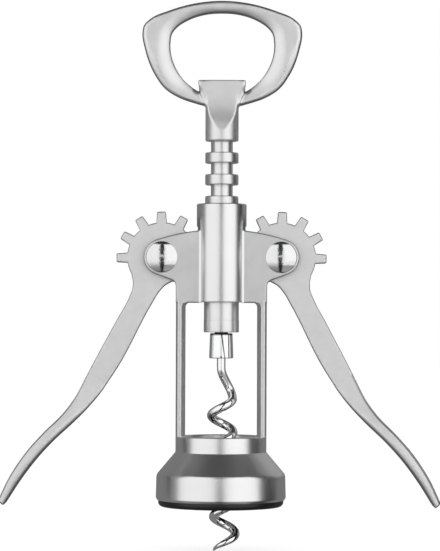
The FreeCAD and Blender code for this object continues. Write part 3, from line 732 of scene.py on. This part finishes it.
worm = {
    "Wire radius": 1.45 * mm, "Turn radius": 3.6 * mm, "Pitch": 11.2 * mm, "Lean": 0.023,
    "Tip height": -22.3 * mm, "Top height": 46.5 * mm, "Lead top": 38.325 * mm, "Lead length": 10.3 * mm,
    "Tip radius": 0.3 * mm, "Taper turns": 0.45, "Points": 420,
}


def wormTree():
    # the wire as a curve: turns that lean a little, a lead back to the axis and a straight shank
    tree = bpy.data.node_groups.new("wormWire", "GeometryNodeTree")
    for name, value in worm.items():
        kind = "NodeSocketInt" if name == "Points" else "NodeSocketFloat"
        tree.interface.new_socket(name, in_out="INPUT", socket_type=kind)
    tree.interface.new_socket("Finish", in_out="INPUT", socket_type="NodeSocketMaterial")
    tree.interface.new_socket("Geometry", in_out="OUTPUT", socket_type="NodeSocketGeometry")
    given = addNode(tree, "NodeGroupInput").outputs
    index = addNode(tree, "GeometryNodeInputIndex").outputs[0]
    lastIndex = addNode(tree, "ShaderNodeMath", {0: given["Points"], 1: 1.0}, operation="SUBTRACT").outputs[0]
    share = addNode(tree, "ShaderNodeMath", {0: index, 1: lastIndex}, operation="DIVIDE").outputs[0]
    height = addNode(tree, "ShaderNodeMapRange", {"Value": share, "To Min": given["Tip height"],
                                                  "To Max": given["Top height"]}).outputs[0]
    leadLow = addNode(tree, "ShaderNodeMath", {0: given["Lead top"], 1: given["Lead length"]},
                      operation="SUBTRACT").outputs[0]
    # angle, held from the lead on
    turning = addNode(tree, "ShaderNodeMath", {0: height, 1: leadLow}, operation="MINIMUM").outputs[0]
    risen = addNode(tree, "ShaderNodeMath", {0: turning, 1: given["Tip height"]},
                    operation="SUBTRACT").outputs[0]
    turns = addNode(tree, "ShaderNodeMath", {0: risen, 1: given["Pitch"]}, operation="DIVIDE").outputs[0]
    angle = addNode(tree, "ShaderNodeMath", {0: turns, 1: 2 * math.pi, 2: math.pi},
                    operation="MULTIPLY_ADD").outputs[0]
    radius = addNode(tree, "ShaderNodeMapRange", {
        "Value": height, "From Min": leadLow, "From Max": given["Lead top"], "To Min": given["Turn radius"],
        "To Max": 0.0}, interpolation_type="SMOOTHSTEP").outputs[0]
    cosine = addNode(tree, "ShaderNodeMath", {0: angle}, operation="COSINE").outputs[0]
    sine = addNode(tree, "ShaderNodeMath", {0: angle}, operation="SINE").outputs[0]
    # lean of the turns
    under = addNode(tree, "ShaderNodeMath", {0: given["Lead top"], 1: height},
                    operation="SUBTRACT").outputs[0]
    under = addNode(tree, "ShaderNodeMath", {0: under, 1: 0.0}, operation="MAXIMUM").outputs[0]
    lean = addNode(tree, "ShaderNodeMath", {0: under, 1: given["Lean"]}, operation="MULTIPLY").outputs[0]
    x = addNode(tree, "ShaderNodeMath", {0: radius, 1: cosine, 2: lean}, operation="MULTIPLY_ADD").outputs[0]
    # the lead leaves the last turn along its slope and dies away towards the axis
    t = addNode(tree, "ShaderNodeMapRange", {"Value": height, "From Min": leadLow,
                                             "From Max": given["Lead top"]}).outputs[0]
    rest = addNode(tree, "ShaderNodeMath", {0: 1.0, 1: t}, operation="SUBTRACT").outputs[0]
    rest = addNode(tree, "ShaderNodeMath", {0: rest, 1: 2.0}, operation="POWER").outputs[0]
    swing = addNode(tree, "ShaderNodeMath", {0: rest, 1: t}, operation="MULTIPLY").outputs[0]
    slope = addNode(tree, "ShaderNodeMath", {0: given["Turn radius"], 1: given["Pitch"]},
                    operation="DIVIDE").outputs[0]
    slope = addNode(tree, "ShaderNodeMath", {0: slope, 1: 2 * math.pi}, operation="MULTIPLY").outputs[0]
    swing = addNode(tree, "ShaderNodeMath", {0: swing, 1: given["Lead length"]},
                    operation="MULTIPLY").outputs[0]
    swing = addNode(tree, "ShaderNodeMath", {0: swing, 1: slope}, operation="MULTIPLY").outputs[0]
    y = addNode(tree, "ShaderNodeMath", {0: radius, 1: sine, 2: swing}, operation="MULTIPLY_ADD").outputs[0]
    spot = addNode(tree, "ShaderNodeCombineXYZ", {0: x, 1: y, 2: height}).outputs[0]
    line = addNode(tree, "GeometryNodeMeshLine", {"Count": given["Points"]}).outputs[0]
    bent = addNode(tree, "GeometryNodeSetPosition", {"Geometry": line, "Position": spot}).outputs[0]
    curve = addNode(tree, "GeometryNodeMeshToCurve", {0: bent}).outputs[0]
    # the point
    fromTip = addNode(tree, "ShaderNodeMapRange", {"Value": turns, "From Max": given["Taper turns"],
                                                   "To Min": 1.0, "To Max": 0.0}).outputs[0]
    fromTip = addNode(tree, "ShaderNodeMath", {0: fromTip, 1: 1.3}, operation="POWER").outputs[0]
    thick = addNode(tree, "ShaderNodeMapRange", {"Value": fromTip, "To Min": given["Wire radius"],
                                                 "To Max": given["Tip radius"]}).outputs[0]
    stored = addNode(tree, "GeometryNodeSetCurveRadius", {0: curve, "Radius": thick}).outputs[0]
    profile = addNode(tree, "GeometryNodeCurvePrimitiveCircle", {"Resolution": 32, "Radius": 1.0}).outputs[0]
    wire = addNode(tree, "GeometryNodeCurveToMesh", {
        "Curve": stored, "Profile Curve": profile, "Fill Caps": True})
    if "Scale" in wire.inputs:
        tree.links.new(thick, wire.inputs["Scale"])
    real = addNode(tree, "GeometryNodeRealizeInstances", {0: wire.outputs[0]})
    dressed = addNode(tree, "GeometryNodeSetMaterial", {"Geometry": real.outputs[0],
                                                        "Material": given["Finish"]})
    addNode(tree, "NodeGroupOutput", {0: dressed.outputs[0]})
    return tree


addPiece("wormWire", grown(wormTree(), dict(worm, Finish=polishedChrome)), "spindle",
         polishedChrome, ["worm"], 50)
print("stem and worm ready")


# Handle: ring, tab and neck in one casting

handle = {
    "outer": [(0, 34.3), (8.1, 33.6), (18.0, 30.9), (23.8, 28.35), (26.2, 25.9), (26.65, 23.5), (25.8, 18.2),
              (22.5, 9.7), (19.0, 4.95), (14.4, 2.0), (9.0, 0.1), (0, -1.8)],
    "inner": [(0, 30.4), (6.2, 29.8), (11.6, 27.9), (15.1, 25.6), (16.7, 23.6), (17.3, 20.4), (17.0, 16.2),
              (15.5, 12.0), (12.9, 8.2), (9.2, 5.0), (0, 1.6)],
    "centre": 15.0,         # the middle of the ring above the neck
    "halfThick": 3.2, "outerRound": 1.5,
    "innerFall": (2.0, 3.2),        # width at the top and bottom, and what the sides add
    "innerDegrees": 33,             # where the face has fallen to at the edge of the hole
    "innerRound": 0.8,
    "foot": (1.6, 3.0, 20.0),       # half thickness at the tab, and the heights between which it thins
    "neckRadius": 5.55,
    # half thickness where the neck thins to the tab, over the height above the neck's top
    "thinning": [(-9.9, 5.7), (-9.0, 5.55), (-8.0, 5.25), (-6.6, 4.8), (-5.0, 4.15), (-3.4, 3.45),
                 (-1.4, 2.75), (0.6, 2.36), (3.6, 2.14), (7.9, 2.1)],
    "tabHalfThick": 2.1, "tabRise": 7.9, "tabHalfWidth": 8.05, "tabFoot": 3.4, "tabFootIn": 0.6,
    "tabLow": 4.0, "tabCorner": 0.5, "tabRim": 0.65,
    "grain": 0.27,          # voxel of the join
    "settle": 6,            # smoothing passes, which round the cast edges
    "notch": (8.3, 131.0, 1.9),     # place beside the tab, and radius of the painted shade in it
    "neckLow": 113.86,      # a little under the CAD neck, as in the photo
    "sides": (0.83, 0.45),  # where the painted shade on the sides begins and ends, by the Y part of the normal
}


def closedOutline(half):
    right = list(half)
    left = [(-u, v) for u, v in half[-2:0:-1]]
    return [p - Vector((0, handle["centre"])) for p in smoothPath(right + left, 40, True)]


def atAngles(outline, count):
    # the outline cut by rays from the middle, clockwise from the top
    found = []
    polar = sorted((math.atan2(p.x, p.y) % (2 * math.pi), p.length) for p in outline)
    polar = [(polar[-1][0] - 2 * math.pi, polar[-1][1])] + polar + [(polar[0][0] + 2 * math.pi, polar[0][1])]
    j = 0
    for k in range(count):
        angle = 2 * math.pi * k / count
        while polar[j + 1][0] < angle:
            j += 1
        a, b = polar[j], polar[j + 1]
        radius = a[1] + (b[1] - a[1]) * (angle - a[0]) / (b[0] - a[0])
        found.append(Vector((math.sin(angle), math.cos(angle))) * radius)
    return found


def ringMesh():
    count = 360
    outer = atAngles(closedOutline(handle["outer"]), count)
    inner = atAngles(closedOutline(handle["inner"]), count)
    sections = []
    corner = handle["outerRound"]
    steep, edge = math.radians(handle["innerDegrees"]), handle["innerRound"]
    for k in range(count):
        ends, add = handle["innerFall"]
        wide = ends + add * abs(math.sin(2 * math.pi * k / count)) ** 1.5
        normals = []
        for line in (outer, inner):
            along = (line[(k + 2) % count] - line[k - 2]).normalized()
            normals.append(Vector((-along.y, along.x)))        # clockwise line: this points outwards
        up = outer[k].y + handle["centre"]
        footThick, footLow, footHigh = handle["foot"]
        rise = min(1, max(0, (up - footLow) / (footHigh - footLow)))
        thick = footThick + (handle["halfThick"] - footThick) * rise ** 2 * (3 - 2 * rise)
        front = [(outer[k], 0.05)]
        for s in range(7):
            angle = math.pi / 2 * s / 6
            front.append((outer[k] - normals[0] * corner * (1 - math.cos(angle)),
                          thick - corner + corner * math.sin(angle)))
        nook = edge * (1 - math.sin(steep))
        for s in range(9):
            share = s / 8
            drop = wide * math.tan(steep) / 2.4 * share ** 2.4
            front.append((inner[k] + normals[1] * (nook + wide * (1 - share)), thick - drop))
        low = front[-1][1]
        for s in range(1, 6):
            angle = steep + (math.pi / 2 - steep) * s / 5
            front.append((inner[k] + normals[1] * edge * (1 - math.sin(angle)),
                          low - edge * (math.cos(steep) - math.cos(angle))))
        profile = [(p, -y) for p, y in front] + [(p, y) for p, y in front[::-1]]
        sections.append([(p.x, y, p.y + handle["centre"] + layout["neckTop"]) for p, y in profile])
    bm = bmesh.new()
    addLoft(bm, sections, closeRound=True)
    return meshOf("ring", bm)


def neckMesh():
    # round neck, thinned from both sides to the tab
    low, top = handle["neckLow"], layout["neckTop"] + handle["tabRise"]
    radius = handle["neckRadius"]
    levels = [(low, radius - 0.3), (low + 0.1, radius - 0.12), (low + 0.3, radius)]
    levels += [(low + 0.3 + (top - low - 0.3) * k / 60, radius) for k in range(1, 61)]
    hollow = smoothPath(handle["thinning"], 8)
    sections = []
    for z, r in levels:
        up = z - layout["neckTop"]
        thin = radius + 1
        for a, b in zip(hollow, hollow[1:]):
            if a.x <= up <= b.x + 1e-6:
                thin = a.y + (b.y - a.y) * (up - a.x) / (b.x - a.x)
        section = []
        for k in range(96):
            angle = 2 * math.pi * k / 96
            section.append((r * math.cos(angle), max(-thin, min(thin, r * math.sin(angle))), z))
        sections.append(section)
    bm = bmesh.new()
    addLoft(bm, sections)
    return meshOf("neck", bm)


def tabMesh():
    neck = handle["neckRadius"] - 0.05
    top, low = layout["neckTop"] + handle["tabRise"], layout["handleLow"] + handle["tabLow"]
    foot, wide = layout["neckTop"] + handle["tabFoot"], handle["tabHalfWidth"]
    shoulder = layout["neckTop"] - 1.0
    corners = [(-neck, low, 0), (neck, low, 0), (neck, shoulder, 0), (wide - handle["tabFootIn"], foot, 0),
               (wide, top, handle["tabCorner"]), (-wide, top, handle["tabCorner"]),
               (-wide + handle["tabFootIn"], foot, 0), (-neck, shoulder, 0)]
    bm = bmesh.new()
    addSlab(bm, lambda inset: insetOutline(roundedOutline(corners, 4), inset), -handle["tabHalfThick"],
            handle["tabHalfThick"], handle["tabRim"])
    return meshOf("tab", bm)


casting = joined("casting", [ringMesh(), neckMesh(), tabMesh()])
casting = applied(casting, ("REMESH", {"mode": "VOXEL", "voxel_size": handle["grain"] * mm}),
                  ("SMOOTH", {"factor": 0.5, "iterations": handle["settle"]}))
# painted shade on the sides of the handle casting
paintSideShade(casting, *handle["sides"], lowest=layout["neckTop"] - 0.5)
for vertex, mark in zip(casting.vertices, casting.attributes["side"].data):
    # painted shade in the two notches beside the tab, where the corners are shadowed
    gap = math.hypot(abs(vertex.co.x) / mm - handle["notch"][0], vertex.co.z / mm - handle["notch"][1])
    mark.value = max(mark.value, min(1, 1.6 - 1.6 * (gap / handle["notch"][2]) ** 2))
addPiece("ringHandle", casting, "spindle", blastedZincHandle, ["opener_handle"], 60)
print("handle ready:", len(casting.polygons), "faces")

# The shaft keeps its CAD shape
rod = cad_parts["core_rod"]
# its dark colour is painted shade in the gap above the ferrule
rod.data.materials.clear()
rod.data.materials.append(drawnSteelRod)


# Floor, light tent and lamps

light = {
    "tent": 1.0,            # what the tent shows to the camera and to reflections
    "fill": 0.66,           # what it gives to matt surfaces
    "lampRadiance": 1.1, "lampSize": 0.8,
    "floorGlow": 0.78, "floorLit": 0.4,
    "flagRadius": 2.0, "flagHeight": 0.06,          # of the cards around the middle of the part, in metres
    "floorHalf": 3.0, "fibre": 900.0,
}


def pathSees(tree):
    # 1 for camera, glossy and transmission rays
    path = addNode(tree, "ShaderNodeLightPath").outputs
    first = addNode(tree, "ShaderNodeMath", {0: path["Is Camera Ray"], 1: path["Is Glossy Ray"]},
                    operation="MAXIMUM")
    return addNode(tree, "ShaderNodeMath", {0: first.outputs[0], 1: path["Is Transmission Ray"]},
                   operation="MAXIMUM").outputs[0]


world = bpy.data.worlds.new("whiteTent")
scene.world = world
tree = emptyTree(world)
strength = addNode(tree, "ShaderNodeMapRange", {"Value": pathSees(tree), "To Min": light["fill"],
                                                "To Max": light["tent"]})
background = addNode(tree, "ShaderNodeBackground", {"Color": (1, 1, 1, 1), "Strength": strength.outputs[0]})
addNode(tree, "ShaderNodeOutputWorld", {"Surface": background.outputs[0]})

# Matt white sweep under the part, which keeps its shadow
floorPaper = bpy.data.materials.new("whiteSweepPaper")
tree = emptyTree(floorPaper)
place = addNode(tree, "ShaderNodeTexCoord").outputs["Object"]
fibre = addNode(tree, "ShaderNodeTexNoise", {"Vector": place, "Scale": light["fibre"], "Detail": 3.0})
paper = addNode(tree, "ShaderNodeMix", {
    "Factor": fibre.outputs[0], 6: linear("#f7f7f6"), 7: linear("#fbfbfb")}, data_type="RGBA")
matt = addNode(tree, "ShaderNodeBsdfDiffuse", {"Color": paper.outputs[2]})
glow = addNode(tree, "ShaderNodeEmission", {"Color": (1, 1, 1, 1), "Strength": light["floorGlow"]})
dim = addNode(tree, "ShaderNodeMixShader", {0: light["floorLit"], 2: matt.outputs[0]})
both = addNode(tree, "ShaderNodeAddShader", {0: glow.outputs[0], 1: dim.outputs[0]})
surface = addNode(tree, "ShaderNodeMixShader", {0: pathSees(tree), 1: matt.outputs[0], 2: both.outputs[0]})
addNode(tree, "ShaderNodeOutputMaterial", {"Surface": surface.outputs[0]})

bm = bmesh.new()
half = light["floorHalf"]
bm.faces.new([bm.verts.new((x * half, y * half, layout["floorZ"] * mm))
              for x, y in ((-1, -1), (1, -1), (1, 1), (-1, 1))])
floor = placed("sweepFloor", plainMesh("sweepFloor", bm))
floor.data.materials.append(floorPaper)
floor.visible_glossy = False        # the cards under the part take its place in reflections


def addFlag(name, azimuths, elevations, radiance, lowest=None):
    # card of the light tent, seen only in reflections; azimuth 0 is the viewer's side, 90 the right.
    # lowest is the radiance at its lower end, where that differs
    steps = 24
    bm = bmesh.new()
    rows = []
    for i in range(steps + 1):
        el = math.radians(elevations[0] + (elevations[1] - elevations[0]) * i / steps)
        row = []
        for k in range(steps + 1):
            az = math.radians(azimuths[0] + (azimuths[1] - azimuths[0]) * k / steps)
            spot = Vector((math.cos(el) * math.sin(az), -math.cos(el) * math.cos(az), math.sin(el)))
            row.append(bm.verts.new(spot * light["flagRadius"] + Vector((0, 0, light["flagHeight"]))))
        rows.append(row)
    for low, high in zip(rows, rows[1:]):
        for k in range(steps):
            bm.faces.new((low[k], low[k + 1], high[k + 1], high[k]))
    card = bpy.data.materials.new(name + "Card")
    tree = emptyTree(card)
    place = addNode(tree, "ShaderNodeTexCoord").outputs["Object"]
    height = addNode(tree, "ShaderNodeSeparateXYZ", {0: place}).outputs[2]
    ends = [math.sin(math.radians(el)) * light["flagRadius"] + light["flagHeight"] for el in elevations]
    fade = addNode(tree, "ShaderNodeMapRange", {
        "Value": height, "From Min": ends[0], "From Max": ends[1],
        "To Min": radiance if lowest is None else lowest, "To Max": radiance})
    shine = addNode(tree, "ShaderNodeEmission", {"Color": (1, 1, 1, 1), "Strength": fade.outputs[0]})
    addNode(tree, "ShaderNodeOutputMaterial", {"Surface": shine.outputs[0]})
    flag = placed(name, plainMesh(name, bm))
    flag.data.materials.append(card)
    flag.visible_camera = flag.visible_diffuse = flag.visible_transmission = False
    flag.visible_shadow = flag.visible_volume_scatter = False


# azimuths, elevations, radiance, and the radiance at the lower end where that differs
flags = {
    "lensGapUnder": ((-10, 8), (-89.9, -16), 0.02),
    "lensGapLow": ((-7.5, 5), (-16, 1.8), 0.02),
    "lensRim": ((-7.5, 5), (1.8, 6.5), 0.7),
    "lensGapHigh": ((-7.5, 5), (6.5, 22), 0.02),
    "lensGapTop": ((-11, 9), (22, 53), 0.02),
    "leftSoftCard": ((-75, -18), (-12, 51), 1.03),
    "rightSoftCard": ((12, 70), (-12, 51), 1.15),
    "leftTable": ((-81, -10), (-32, -16), 0.95, 0.5),
    "leftTableNear": ((-81, -10), (-60, -32), 0.4, 0.2),
    "leftTableUnder": ((-81, -10), (-89.9, -60), 0.08),
    "rightTable": ((8, 72), (-60, -27), 0.35, 0.4),
    "rightTableUnder": ((8, 72), (-89.9, -60), 0.08),
    "roofFlag": ((-81, 72), (53, 89.9), 0.03),
    "roofRearFlag": ((72, 279), (45, 89.9), 0.05),
    "leftRearFlag": ((-180, -81), (-89.9, 8), 0.2),
    "leftHighFlag": ((-180, -81), (8, 45), 0.2),
    "rightSideFlag": ((72, 112), (-89.9, 45), 0.02),
    "rightRearFlag": ((112, 180), (-89.9, 8), 0.2),
    "rightHighFlag": ((112, 180), (8, 45), 0.36),
}
for name, card in flags.items():
    addFlag(name, *card)


def addLamp(name, spot, aim, size, radiance):
    data = bpy.data.lights.new(name, "AREA")
    data.shape = "SQUARE"
    data.size = size
    data.energy = radiance * math.pi * size ** 2
    lamp = placed(name, data)
    lamp.visible_glossy = False         # reflections see the tent alone
    turn = (Vector(aim) - Vector(spot)).to_track_quat("-Z", "Y").to_matrix().to_4x4()
    lamp.matrix_world = Matrix.Translation(spot) @ turn


middle = (0, 0, light["flagHeight"])
for name, spot in (("leftSoftbox", (-0.85, -0.75, 0.45)), ("rightSoftbox", (0.85, -0.75, 0.4))):
    addLamp(name, spot, middle, light["lampSize"], light["lampRadiance"])
scene.view_settings.view_transform = "Standard"

# Camera, from the size and place of the part in the photo
view = {"eye": (-0.5, -842.0, 55.8), "lens": 165.04, "sensor": 36.0, "pitchUp": 0.907, "roll": 0.2}
data = bpy.data.cameras.new("camera")
data.sensor_fit = "VERTICAL"
data.sensor_height = view["sensor"]
data.lens = view["lens"]
data.clip_start = 0.05
data.clip_end = 20
camera = placed("camera", data)
camera.matrix_world = (Matrix.Translation(Vector(view["eye"]) * mm)
                       @ Matrix.Rotation(math.radians(90 + view["pitchUp"]), 4, "X")
                       @ Matrix.Rotation(math.radians(view["roll"]), 4, "Z"))
scene.camera = camera

print("scene ready")
